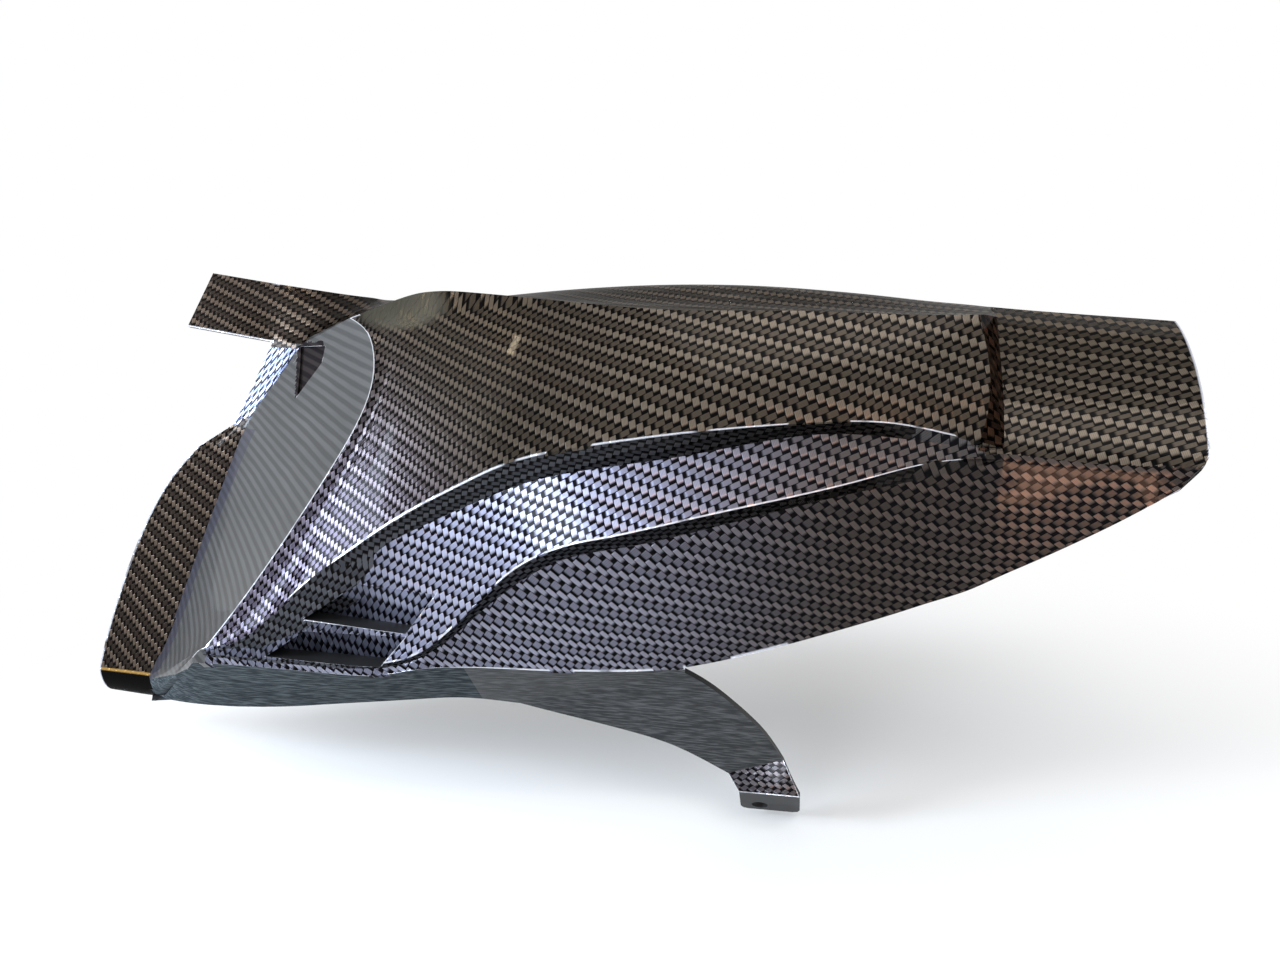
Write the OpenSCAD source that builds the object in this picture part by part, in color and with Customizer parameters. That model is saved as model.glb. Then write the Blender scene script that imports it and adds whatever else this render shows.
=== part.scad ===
// Rear hugger mudguard: one formed sheet that arches over the rear tyre, with a raised pod on its
// near side, two pressed louvres, a tucked-in skirt and a leg that ends in a bolted foot.
// X runs rearwards, -Y is the near side, Z is up. The origin is the mouth of the foot's bolt hole.

/* [Sheet] */
// Thickness of the formed sheet
sheet_t = 3; // [2.5:0.1:3.5]

/* [Arch] */
// Inside-to-outside width of the arch over the tyre
arch_w = 154; // [146:1:176]
// Height from the crown down to the side fold
fold_h = 62; // [54:1:68]
// How far the tail reaches behind the pod
tail_len = 102; // [80:1:130]
// Height of the far side wall below its fold
far_wall_h = 52; // [40:1:70]

/* [Pod] */
// Length of the raised pod, from its rear end to its lower front corner
pod_len = 362; // [340:1:385]
// How far the pod stands out from the side of the arch
pod_out = 53; // [44:1:60]
// Height from the crown down to the lower crease
side_drop = 175; // [165:1:190]
// Outward bulge of the pod's upper panel
panel_bulge = 3; // [1:0.5:5]

/* [Louvres] */
// Depth of a louvre pocket under its upper lip
louvre_top_depth = 5; // [3:0.5:8]
// Depth of a louvre pocket above its lower lip
louvre_low_depth = 11; // [8:0.5:14]

/* [Foot] */
// Height of the upright step between the leg and the foot
step_h = 11; // [8:1:14]
// Length of the foot tab that carries the bolt
foot_len = 23.5; // [20:0.5:28]
// Width of the foot tab
foot_w = 29; // [24:1:34]
// Slope of the foot tab below level
foot_slope = 48; // [40:1:56]
// Diameter of the bolt hole in the foot
foot_hole_d = 8; // [6:0.5:10]
// Diameter of the fixing hole in the far wall
far_hole_d = 8; // [6:0.5:10]

/* [Hidden] */

// Points of the design are [u, o, d]: u runs forwards from the pod's rear end in percent of pod_len
// (and rearwards to -tail_u at the tail's end), o is the stand-out beyond the arch's side in percent
// of pod_out, and d is the depth below the crown in percent of side_drop.
tail_u = 28;
pod_rear_x = 144;
half_w = arch_w / 2;
function along(u) = u < 0 ? pod_rear_x - tail_len * u / tail_u : pod_rear_x - pod_len * u / 100;
function place(p) = [along(p[0]), -half_w - pod_out * p[1] / 100, -side_drop * p[2] / 100];

// A smooth curve through the rows of a table, whose first column rises
function mix(a, b, t) = a + (b - a) * t;
function span(t, x, i = 0) = i < len(t) - 2 && x > t[i + 1][0] ? span(t, x, i + 1) : i;
function chord(t, i) = (t[i + 1] - t[i]) / (t[i + 1][0] - t[i][0]);
function slope(t, i) =
    i == 0 ? chord(t, 0) :
    i == len(t) - 1 ? chord(t, i - 1) :
    (t[i + 1] - t[i - 1]) / (t[i + 1][0] - t[i - 1][0]);
function hermite(p, q, m, n, s) =
    (2 * s * s * s - 3 * s * s + 1) * p + (s * s * s - 2 * s * s + s) * m
    + (3 * s * s - 2 * s * s * s) * q + (s * s * s - s * s) * n;
function curve(t, x) =
    let (i = span(t, x), h = t[i + 1][0] - t[i][0])
    hermite(t[i], t[i + 1], h * slope(t, i), h * slope(t, i + 1), (x - t[i][0]) / h);

// Points on a rail at u and on a front curve at w, a straight run of rows, and one point held for n rows
function curve_at(t, u) = let (p = curve(t, u)) [u, p[1], p[2]];
function rail(t, u) = place(curve_at(t, u));
function down(t, w) = let (p = curve(t, w)) place([p[1], p[2], p[3]]);
function line(p, q, n) = [for (k = [0:n - 1]) mix(p, q, k / n)];
function hold(p, n) = [for (k = [1:n]) p];

// Rails along the body, [u, o, d]
crown_rail = [[-28, 8], [-5, 5], [14, 1], [31, -1], [49, 0], [69, 4.5], [94, 14]];
valley_rail = [[0, -53, 5], [26, -47, 4], [56, -43, 3], [69, -47, 3], [80, -51, 2.5], [94, -51, -1]];
ridge_rail = [[0, 2, 3], [7, 13, 3], [21, 28, 2], [37, 38, 2], [52, 36, 0], [60, 26, -1], [69, 16, -1],
    [79.3, 15.7, 6.2]];
crease_a = [[0, 20, 34], [5, 35, 30.5], [12, 49, 28], [25, 68, 29], [39, 85, 32], [54, 96, 38],
    [62, 99, 46], [69, 100, 54], [78.6, 99, 67.9], [82.7, 98, 74], [86, 97, 81], [90, 94.5, 88.5],
    [94, 91.5, 93], [98, 88.5, 95.2]];
foot_a = [[0, 15, 36], [5, 27, 34], [18, 42, 32], [35, 62, 38], [52, 79, 44], [62, 84, 52.5],
    [67, 88, 57.5], [71, 94, 61.5], [75, 97.6, 66.5], [80, 97.6, 73.5], [86, 95.8, 86],
    [94, 91.8, 94.7], [99, 88.7, 96.2]];
crease_b = [[0, 17, 38.5], [5, 30, 39], [16, 49, 45], [31, 70, 52], [43, 84, 58], [48, 89, 60],
    [55, 92, 67], [62, 96, 82], [66, 98.9, 89.6], [69.5, 99.5, 93.4], [76, 96.5, 95.8],
    [86, 93.5, 96.4], [99.5, 88.8, 97.2]];
foot_b = [[0, 11, 41], [3, 17, 43], [15, 36, 48], [39, 64, 61], [50, 74, 66], [58, 81, 77],
    [63, 82.6, 87], [67.7, 86, 94.2], [72, 91.3, 96.8], [78, 93.6, 97.6], [86, 92.8, 97.8],
    [100, 89, 98.4]];
low_rail = [[-28, 0, 41.5], [-25.5, 1, 44.5], [-16.4, 4, 56.7], [-2, 13, 72.3], [13, 28, 84],
    [34, 56.8, 95.3], [50, 74, 96.6], [60, 81.5, 96.2], [67, 87.5, 96.6], [71, 91.5, 98],
    [74, 93.3, 99.5], [82, 94, 99.3], [93, 92, 99.3], [100, 89, 100]];
skirt_rail = [[57, 32.2, 112.9], [65, 34, 112.2], [74.5, 31, 115.2], [84, 28, 118.3],
    [92.4, 24.5, 121.2], [100, 19, 123.3]];

// Curves down the front, [share of the way down, u, o, d]
front_edge = [[0, 79.3, 15.7, 6.2], [0.05, 76, 29, 8.3], [0.1, 74.3, 38, 12.3],
    [0.14, 74.2, 44.5, 16.5], [0.24, 74.5, 55.3, 25.2], [0.35, 76.8, 65.6, 35.5],
    [0.47, 79.9, 73.4, 45.7], [0.64, 85.9, 81.7, 63.8], [0.84, 93, 85.7, 83], [1, 98, 88.5, 95.2]];
plate_root = [[0, 89, -21, 15], [0.057, 90.6, -24.5, 18.5], [0.141, 92.8, -28, 23.5],
    [0.348, 99.2, -28, 39.6], [0.466, 102.4, -27, 53.5], [0.59, 105.9, -24, 69.4],
    [0.721, 109.4, -18.5, 86], [0.858, 113.2, -11, 106], [1, 116.9, -8, 119.5]];
neck_edge = [[0, 94.2, -32, 15], [0.14, 96.2, -32, 22.1], [0.24, 98.3, -32, 30],
    [0.348, 101.3, -32, 39.7]];
lobe_edge = [[0.348, 101.3, -32, 39.7], [0.4, 104, -31, 42.8], [0.466, 107.5, -30, 47.5],
    [0.59, 113.4, -27, 59.7], [0.721, 118.7, -23, 80], [0.858, 123.2, -16.5, 102.5],
    [1, 125.8, -13, 119]];
skirt_nose = [[0, 100, 19, 123.3], [0.4, 107.3, 8.6, 125.2], [0.75, 113.7, -6, 126.8],
    [1, 117, -22, 128]];

// Stations where the columns of the mesh change their rule
pod_foot_u = -4.2;
leg_rear_u = 34;
leg_front_u = 57;
front_u = 69;
ridge_end_u = 79.3;
plate_u = 89;
notch_u = 94;
tab_top_end = [104, -51, -4];
tab_low_end = [107, -32, 11];

// Cells along and across the sheet
n_tail = 7;
n_pod_rear = 10;
n_leg_w = 7;
n_pod_front = 4;
n_front = 8;
n_wall = 7;
n_plate = 3;
n_tab = 4;
n_far_wall = 3;
n_arc = 7;
n_top = 3;
n_panel = 9;
n_step = 2;
n_band = 3;
n_side = 4;
n_skirt = 3;
n_leg = 8;
n_riser = 2;
n_foot = 4;
n_below = n_leg + n_riser + n_foot;
n_lower = 2 * n_step + n_band;

// Tail section: half of a superellipse on each side of the crown
arc_pow = 4 / 3;
valley_angle = 44;
ridge_angle = 58;
crease_angle = 80;
corner_cut = 7;
function crown_z(u) = -side_drop * curve(crown_rail, u)[1] / 100;
function arc_point(u, a) =
    let (side = half_w * pow(abs(sin(a)), arc_pow), drop = fold_h * (1 - pow(cos(a), arc_pow)))
    [along(u), -sign(a) * side, crown_z(u) - drop];

// The near side's trim climbs over the fold towards the tail's end, where its corner is rounded
trim_climb = 0.2;
function near_share(u) = 1 - trim_climb * pow(max(0, (-16 - u) / 12), 2);
function near_point(u, a) = arc_point(u, a * near_share(u));
function near_side(u) =
    let (fold = near_point(u, 90), low = rail(low_rail, u), cut = u <= -tail_u ? corner_cut : 0)
    [for (k = [0:n_side - 1]) let (t = k / n_side) mix(fold, low, t) - [cut * t * t, 0, 0]];
function near_trim(u) = rail(low_rail, u) - [u <= -tail_u ? corner_cut : 0, 0, 0];

// Far side: a plain upright wall below the arc
far_trim = [[-28, 0.06], [-18, 0.5], [0, 0.85], [40, 1], [80, 1], [94, 0.7]];
function far_rows(u) = concat(
    [for (k = [0:n_far_wall - 1])
        arc_point(u, -90) - [0, 0, far_wall_h * curve(far_trim, u)[1] * (1 - k / n_far_wall)]],
    [for (k = [0:n_arc - 1]) arc_point(u, -90 + 90 * k / n_arc)]);

// Top of the pod: crown, shallow valley, ridge
function ease(t) = t * t * (3 - 2 * t);
function top_span(p, q, n) =
    [for (k = [0:n - 1]) let (t = k / n) [mix(p.x, q.x, t), mix(p.y, q.y, t), mix(p.z, q.z, ease(t))]];
function top_rows(u, ridge) =
    let (crown = [along(u), 0, crown_z(u)], valley = place(curve_at(valley_rail, u)))
    concat(top_span(crown, valley, n_top), top_span(valley, ridge, n_top));

// Upper panel between the ridge and the first crease, bowed outwards
function bow(w) = [0, -panel_bulge * sin(180 * w), 0];
function share(k) = pow(k / n_panel, 1.3);
function panel(ridge, crease) = [for (k = [0:n_panel - 1]) mix(ridge, crease, share(k)) + bow(share(k))];

// Everything from the first crease to the lower crease
function lower_rows(a, fa, b, fb, low) =
    concat(line(a, fa, n_step), line(fa, b, n_band), line(b, fb, n_step), line(fb, low, n_side));

// Leg, upright step and foot tab, for a share c of the width from the rear edge to the front edge
leg_rear_edge = [[0, 34, 56.8, 96.8], [0.21, 31, 50.2, 101], [0.48, 27.4, 41.7, 108],
    [0.76, 23.8, 32.6, 116.3], [1, 21.3, 25, 124.8]];
leg_front_edge = [[0, 57, 32.2, 112.9], [0.2, 51, 30.8, 115.5], [0.45, 43, 29, 118.8],
    [0.75, 35.5, 27, 123], [1, 28.6, 25, 130.2]];
foot_x = 61;
foot_lean = 6;
foot_corner = 3.5;
hole_margin = 6.8;
hole_shift = 5;
leg_end = (down(leg_rear_edge, 1) + down(leg_front_edge, 1)) / 2;
foot_y = leg_end.y - foot_lean;
foot_z = leg_end.z - step_h;
foot_dir = [0, cos(foot_slope), -sin(foot_slope)];
function leg_share(u) = min(1, max(0, (u - leg_rear_u) / (leg_front_u - leg_rear_u)));
function leg_point(c, r) = mix(down(leg_rear_edge, r), down(leg_front_edge, r), c);
function skirt_end(u) = u < leg_front_u ? leg_point(leg_share(u), 0) : rail(skirt_rail, u);
function foot_point(c, run, inset) =
    [foot_x + (foot_w / 2 - inset) * (1 - 2 * c), foot_y, foot_z] + run * foot_dir;
function leg_rows(u) =
    let (c = leg_share(u))
    concat(
        [for (k = [1:n_leg]) leg_point(c, k / n_leg)],
        [for (k = [1:n_riser]) mix(leg_point(c, 1), foot_point(c, 0, 0), k / n_riser)],
        [foot_point(c, foot_len / 2, 0), foot_point(c, foot_len - foot_corner, 0),
            foot_point(c, foot_len - foot_corner * 0.3, foot_corner * 0.3),
            foot_point(c, foot_len, foot_corner)]);

// Columns of the mesh, from the tail's end forwards
function tail_column(u) = concat(
    far_rows(u),
    [for (k = [0:n_top - 1]) near_point(u, valley_angle * k / n_top)],
    [for (k = [0:n_top - 1]) near_point(u, mix(valley_angle, ridge_angle, k / n_top))],
    [for (k = [0:n_panel - 1]) near_point(u, mix(ridge_angle, crease_angle, share(k)))],
    [for (k = [0:n_lower - 1]) near_point(u, mix(crease_angle, 90, k / n_lower))],
    near_side(u),
    hold(near_trim(u), n_skirt + 1 + n_below));

function pod_column(u) =
    let (ridge = rail(ridge_rail, u), a = rail(crease_a, u), low = rail(low_rail, u), hem = skirt_end(u))
    concat(
        far_rows(u), top_rows(u, ridge), panel(ridge, a),
        lower_rows(a, rail(foot_a, u), rail(crease_b, u), rail(foot_b, u), low),
        line(low, hem, n_skirt), [hem], leg_rows(u));

// The pod's rear end bows rearwards below the ridge and behind it
rear_bow = 6;
top_run = 8;
function pod_end_shift(i) =
    i <= i_crown ? top_run :
    i < i_ridge ? let (t = (i - i_crown) / (i_ridge - i_crown)) top_run * (1 - t + sin(180 * t)) :
    i < i_crease ? rear_bow * sin(150 * share(i - i_ridge)) : rear_bow / 2;
function pod_end_column() =
    let (p = pod_column(0)) [for (i = [0:len(p) - 1]) p[i] + [pod_end_shift(i), 0, 0]];

// Front of the pod: between its first whole column and the front edge, each row runs at its own rate,
// and the upper panel fills the patch that its four edges leave
function to_front(t, s) = rail(t, mix(front_u, t[len(t) - 1][0], s));
function front_panel(s) =
    let (r = to_front(ridge_rail, s) - mix(rail(ridge_rail, front_u), down(front_edge, 0), s))
    let (c = to_front(crease_a, s) - mix(rail(crease_a, front_u), down(front_edge, 1), s))
    let (start = panel(rail(ridge_rail, front_u), rail(crease_a, front_u)))
    [for (k = [0:n_panel - 1]) mix(start[k], down(front_edge, share(k)), s) + mix(r, c, share(k))];
function front_column(s) =
    let (low = to_front(low_rail, s), hem = to_front(skirt_rail, s), u = mix(front_u, ridge_end_u, s))
    concat(
        far_rows(u), top_rows(u, front_panel(s)[0]), front_panel(s),
        lower_rows(to_front(crease_a, s), to_front(foot_a, s),
            to_front(crease_b, s), to_front(foot_b, s), low),
        line(low, hem, n_skirt), hold(hem, n_below + 1));

// Bottom of the front plate rolls under
roll_r = 14;
roll_drop = 18;
roll_turn = 75;
lip_len = 5;
function roll(p, a) = p + [0, roll_r * (1 - cos(a)), -roll_drop * sin(a)];
function roll_end(p) = roll(p, 90) + [0, lip_len, 0];
function roll_rows(p) = concat(
    [for (k = [0:n_lower + n_side - 1]) roll(p, roll_turn * k / (n_lower + n_side))],
    line(roll(p, roll_turn), roll_end(p), n_skirt));

function corner_rows() = let (p = front_column(1)) [for (i = [i_crease:i_low]) p[i]];
function plate_foot(c) = mix(down(plate_root, 1), down(lobe_edge, 1), c);
function edge_point(w) = w < neck_edge[3][0] + 0.01 ? down(neck_edge, w) : down(lobe_edge, w);

// The flank between the pod's front edge and the plate
function wall_column(c) =
    let (u = mix(ridge_end_u, plate_u, c), hem = down(skirt_nose, c))
    let (a = corner_rows(), b = roll_rows(plate_foot(0)))
    let (face = [for (k = [0:n_panel - 1]) mix(down(front_edge, share(k)), down(plate_root, share(k)), c)])
    let (rows = [for (k = [0:len(a) - 1]) mix(a[k], b[k], c)])
    concat(
        far_rows(u), top_rows(u, face[0]), face,
        [for (k = [0:len(a) - 2]) rows[k]], line(rows[len(a) - 1], hem, n_skirt), hold(hem, n_below + 1));

// The plate between the flank and its cut edge
function plate_column(c) =
    let (u = mix(plate_u, notch_u, c), foot = plate_foot(c))
    let (face = [for (k = [0:n_panel - 1]) mix(down(plate_root, share(k)), edge_point(share(k)), c)])
    concat(far_rows(u), top_rows(u, face[0]), face, roll_rows(foot), hold(roll_end(foot), n_below + 1));

// The tab in front of the notch
function tab_column(c) =
    let (p = plate_column(1))
    let (top = mix(p[i_valley], place(tab_top_end), c), low = mix(p[i_ridge], place(tab_low_end), c))
    concat(hold(top, i_valley), line(top, low, i_ridge - i_valley), hold(low, i_end - i_ridge + 1));

i_crown = n_far_wall + n_arc;
i_valley = i_crown + n_top;
i_ridge = i_valley + n_top;
i_crease = i_ridge + n_panel;
i_low = i_crease + n_lower + n_side;
i_skirt = i_low + n_skirt;
i_end = i_skirt + n_below;
j_foot = n_tail;
j_leg_rear = j_foot + 1 + n_pod_rear;
j_leg_front = j_leg_rear + n_leg_w;
j_front = j_leg_front + n_pod_front;
j_edge = j_front + n_front;
j_root = j_edge + n_wall;
j_notch = j_root + n_plate;
j_end = j_notch + n_tab;

grid = concat(
    [for (k = [0:n_tail]) tail_column(mix(-tail_u, pod_foot_u, k / n_tail))],
    [pod_end_column()],
    [for (k = [1:n_pod_rear]) pod_column(leg_rear_u * k / n_pod_rear)],
    [for (k = [1:n_leg_w]) pod_column(mix(leg_rear_u, leg_front_u, k / n_leg_w))],
    [for (k = [1:n_pod_front]) pod_column(mix(leg_front_u, front_u, k / n_pod_front))],
    [for (k = [1:n_front]) front_column(k / n_front)],
    [for (k = [1:n_wall]) wall_column(k / n_wall)],
    [for (k = [1:n_plate]) plate_column(k / n_plate)],
    [for (k = [1:n_tab]) tab_column(k / n_tab)]);

// Which cells of the grid are sheet
function on(i, j) =
    i < 0 || j < 0 || i >= i_end || j >= j_end ? false :
    j >= j_notch ? i >= i_valley && i < i_ridge :
    i < i_low ? true :
    i < i_skirt ? j >= j_leg_rear :
    j >= j_leg_rear && j < j_leg_front;

function unit(v) = let (n = norm(v)) n > 1e-6 ? v / n : [0, 0, 0];
function cell_normal(i, j) = unit(cross(grid[j + 1][i] - grid[j][i + 1], grid[j + 1][i + 1] - grid[j][i]));
function sum(v, i = 0) = i < len(v) ? v[i] + sum(v, i + 1) : [0, 0, 0];
function inward(i, j) =
    let (near = [for (a = [-1, 0], b = [-1, 0]) if (on(i + a, j + b)) cell_normal(i + a, j + b)])
    len(near) == 0 ? [0, 0, 0] :
    let (n = unit(sum(near)), least = min([for (m = near) m * n]))
    -n * sheet_t / max(0.6, least);
offsets = [for (j = [0:j_end]) [for (i = [0:i_end]) inward(i, j)]];

// Between the creases the inner face follows its two nearest rails, so that it can't cross itself
rails = [i_crease, i_crease + n_step, i_crease + n_step + n_band, i_crease + n_lower, i_low];
function rail_below(i) = max([for (r = rails) if (r <= i) r]);
function rail_above(i) = min([for (r = rails) if (r > i) r]);
function offset_at(i, j) =
    i <= i_crease || i >= i_low ? offsets[j][i] :
    let (a = rail_below(i), b = rail_above(i)) mix(offsets[j][a], offsets[j][b], (i - a) / (b - a));

// Faces of the sheet: outer and inner skins, and a rim wherever a cell has no neighbour
rows = i_end + 1;
count = rows * (j_end + 1);
function id(i, j) = j * rows + i;
function quad(a, b, c, d) = [[a, c, b], [a, d, c]];
function rim(a, b) = quad(a, b, count + b, count + a);
function cell_faces(i, j) =
    let (a = id(i, j), b = id(i, j + 1), c = id(i + 1, j + 1), d = id(i + 1, j))
    concat(
        quad(a, b, c, d), quad(count + a, count + d, count + c, count + b),
        on(i - 1, j) ? [] : rim(b, a), on(i + 1, j) ? [] : rim(d, c),
        on(i, j - 1) ? [] : rim(a, d), on(i, j + 1) ? [] : rim(c, b));

module sheet() {
    skin = [for (j = [0:j_end]) for (i = [0:i_end]) grid[j][i]];
    back = [for (j = [0:j_end]) for (i = [0:i_end]) grid[j][i] + offset_at(i, j)];
    faces = [for (j = [0:j_end - 1]) for (i = [0:i_end - 1]) if (on(i, j)) for (f = cell_faces(i, j)) f];
    polyhedron(points = concat(skin, back), faces = faces, convexity = 10);
}

// Pockets pressed into the sheet. A pocket's corners run clockwise from its lower front one, seen from
// outside; floor is the depth below each corner, and root is where the wall behind it leaves the sheet.
pocket_wall = 2.5;
reach = 8;
function side_out(a, b) = unit([a.z - b.z, 0, b.x - a.x]);
function grown(q, g) = [for (k = [0:3])
    let (m = side_out(q[(k + 3) % 4], q[k]), n = side_out(q[k], q[(k + 1) % 4]))
    q[k] + g * (m + n) / (1 + m * n)];

module prism(q, from, to) {
    near = [for (k = [0:3]) q[k] + [0, from[k], 0]];
    deep = [for (k = [0:3]) q[k] + [0, to[k], 0]];
    polyhedron(
        points = concat(near, deep),
        faces = [
            [0, 1, 2], [0, 2, 3], [4, 6, 5], [4, 7, 6],
            for (k = [0:3]) let (n = (k + 1) % 4) each [[k, k + 4, n], [n, k + 4, n + 4]]]);
}

module pocket_block(q, floor, root) {
    prism(grown(q, pocket_wall), root, [for (d = floor) d + pocket_wall]);
}

module pocket_cut(q, floor) {
    prism(q, [-reach, -reach, -reach, -reach], floor);
}

// Louvres in the lower front of the pod; corners are [u, d]
louvres = [
    [[83, 84], [75, 73], [65, 75], [69, 86]],
    [[89, 96], [83, 87.5], [69, 86.8], [73, 96.5]]];
louvre_floor = [louvre_low_depth, louvre_top_depth, louvre_top_depth, louvre_low_depth];
louvre_root = sheet_t / 2 * [1, 1, 1, 1];
function panel_rails(u) =
    [curve(crease_a, u), curve(foot_a, u), curve(crease_b, u), curve(foot_b, u), curve(low_rail, u)];
function stand_out(r, d, k = 0) =
    k < 3 && d > r[k + 1][2] ? stand_out(r, d, k + 1) :
    mix(r[k][1], r[k + 1][1], (d - r[k][2]) / (r[k + 1][2] - r[k][2]));
function louvre(c) = [for (p = c) place([p[0], stand_out(panel_rails(p[0]), p[1]), p[1]])];

// Hollow in the flank under its lip; corners are [u, o, d]
hollow = [for (p = [[88.8, -0.8, 28.9], [89.3, -21.5, 15.8], [84.2, -0.8, 14.6], [84.6, 2.1, 19]]) place(p)];
hollow_floor = [2.4, 1.8, 6, 6];
hollow_root = [2.8, 2, 1.5, 1.5];

// Bolt hole through the foot tab, and a fixing hole through the far wall
far_hole_x = -95;
far_hole_rise = 14;
far_hole_z = crown_z(66) - fold_h - far_wall_h + far_hole_rise + far_hole_d / 2;
foot_hole = [foot_x - hole_shift, foot_y, foot_z] + (foot_len - hole_margin) * foot_dir;

module bore(at, tilt, d) {
    translate(at) rotate([tilt, 0, 0]) cylinder(h = 6 * sheet_t, d = d, center = true, $fn = 48);
}

module mudguard() {
    color("dimgray") translate(-foot_hole) difference() {
        union() {
            sheet();
            for (c = louvres) pocket_block(louvre(c), louvre_floor, louvre_root);
            pocket_block(hollow, hollow_floor, hollow_root);
        }
        for (c = louvres) pocket_cut(louvre(c), louvre_floor);
        pocket_cut(hollow, hollow_floor);
        bore(foot_hole, 180 - foot_slope, foot_hole_d);
        bore([far_hole_x, half_w, far_hole_z], 90, far_hole_d);
    }
}

mudguard();
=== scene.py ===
"""Looks of a rear hugger mudguard: a lacquered sheet with a woven print and grey unprinted walls.

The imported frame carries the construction. This script dresses it: the sheet is rounded and smoothed, its
faces are sorted into finishes, the woven print is laid out over them, and a small studio stands around it.
"""

import logging
import math
from dataclasses import dataclass, field
from enum import IntEnum
from typing import NamedTuple

import bmesh
import bpy
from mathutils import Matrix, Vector
from mathutils.bvhtree import BVHTree

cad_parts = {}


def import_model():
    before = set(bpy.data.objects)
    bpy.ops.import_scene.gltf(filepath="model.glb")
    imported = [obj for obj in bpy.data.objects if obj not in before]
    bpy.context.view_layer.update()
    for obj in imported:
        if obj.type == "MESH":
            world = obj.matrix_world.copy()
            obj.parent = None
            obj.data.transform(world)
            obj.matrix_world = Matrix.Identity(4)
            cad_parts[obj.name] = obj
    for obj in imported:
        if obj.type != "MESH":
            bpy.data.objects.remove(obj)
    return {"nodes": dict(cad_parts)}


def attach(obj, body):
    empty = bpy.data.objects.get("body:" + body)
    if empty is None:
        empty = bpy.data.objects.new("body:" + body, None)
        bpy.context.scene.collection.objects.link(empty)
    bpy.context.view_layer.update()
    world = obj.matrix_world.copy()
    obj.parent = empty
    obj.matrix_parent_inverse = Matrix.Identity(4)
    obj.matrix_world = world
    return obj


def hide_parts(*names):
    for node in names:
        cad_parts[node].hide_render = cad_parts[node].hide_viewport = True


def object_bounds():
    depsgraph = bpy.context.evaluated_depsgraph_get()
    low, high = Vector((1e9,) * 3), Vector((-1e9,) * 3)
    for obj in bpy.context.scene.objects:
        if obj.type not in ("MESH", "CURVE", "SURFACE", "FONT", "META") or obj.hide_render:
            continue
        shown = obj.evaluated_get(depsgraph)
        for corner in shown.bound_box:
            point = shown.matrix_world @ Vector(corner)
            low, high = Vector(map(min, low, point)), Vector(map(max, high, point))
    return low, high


LOG = logging.getLogger("mudguard")
# Name of the UV map that holds the place in the print, and of the mark on edges that get a painted highlight
PRINT_MAP = "weave"
HIGHLIGHT_MARK = "ridge"
# Millimetres in a metre
MM = 1000

Point = tuple[float, float]
Place = tuple[float, float, float]
Table = tuple[Point, ...]
Rgb = tuple[float, float, float]
Socket = bpy.types.NodeSocket


class Zone(IntEnum):
    """Finishes of the sheet, in the order of its material slots."""

    UPPER_PRINT = 0
    STRIPE_PRINT = 1
    LOWER_PRINT = 2
    STEP_PRINT = 3
    PLATE_PRINT = 4
    NECK_PRINT = 5
    END_PRINT = 6
    ROOT = 7
    FLANK = 8
    HOLLOW = 9
    SKIRT = 10
    LEG = 11
    FOOT = 12
    INSIDE = 13


def linear(colour: Rgb) -> tuple[float, float, float, float]:
    """Turns a colour as seen on a screen into the linear colour that a shader takes.

    Args:
        colour: Red, green and blue from 0 to 255.

    Returns:
        Linear red, green and blue with an alpha of 1.
    """
    def channel(c: float) -> float:
        """Linear value of one channel."""
        c /= 255
        return c / 12.92 if c <= 0.04045 else ((c + 0.055) / 1.055) ** 2.4

    return (*(channel(c) for c in colour), 1.0)


def between(table: Table, at: float) -> float:
    """Reads a table of (position, value) rows, straight between rows and level past the ends.

    Args:
        table: Rows in rising order of position.
        at: Position to read.

    Returns:
        The value there.
    """
    if at <= table[0][0]:
        return table[0][1]
    for (p, a), (q, b) in zip(table, table[1:]):
        if at <= q:
            return a + (b - a) * (at - p) / (q - p)
    return table[-1][1]


def gathered(table: Table, at: float) -> float:
    """Sums a table of (position, density) rows from 0 to a position.

    Args:
        table: Rows in rising order of position.
        at: Where the sum ends.

    Returns:
        The sum, below 0 for a negative position.
    """
    low, high = min(0.0, at), max(0.0, at)
    stops = [low, *(q for q, _ in table if low < q < high), high]
    area = sum((between(table, q) + between(table, r)) / 2 * (r - q) for q, r in zip(stops, stops[1:]))
    return area if at >= 0 else -area


def steady(value: float) -> Table:
    """A table with the same value everywhere."""
    return ((0.0, value),)


def placed(name: str, data: bpy.types.ID) -> bpy.types.Object:
    """Makes an object of a mesh, a lamp or a camera and links it to the scene.

    Args:
        name: Name of the object.
        data: What it shows.

    Returns:
        The object.
    """
    thing = bpy.data.objects.new(name, data)
    bpy.context.scene.collection.objects.link(thing)
    return thing


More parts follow.
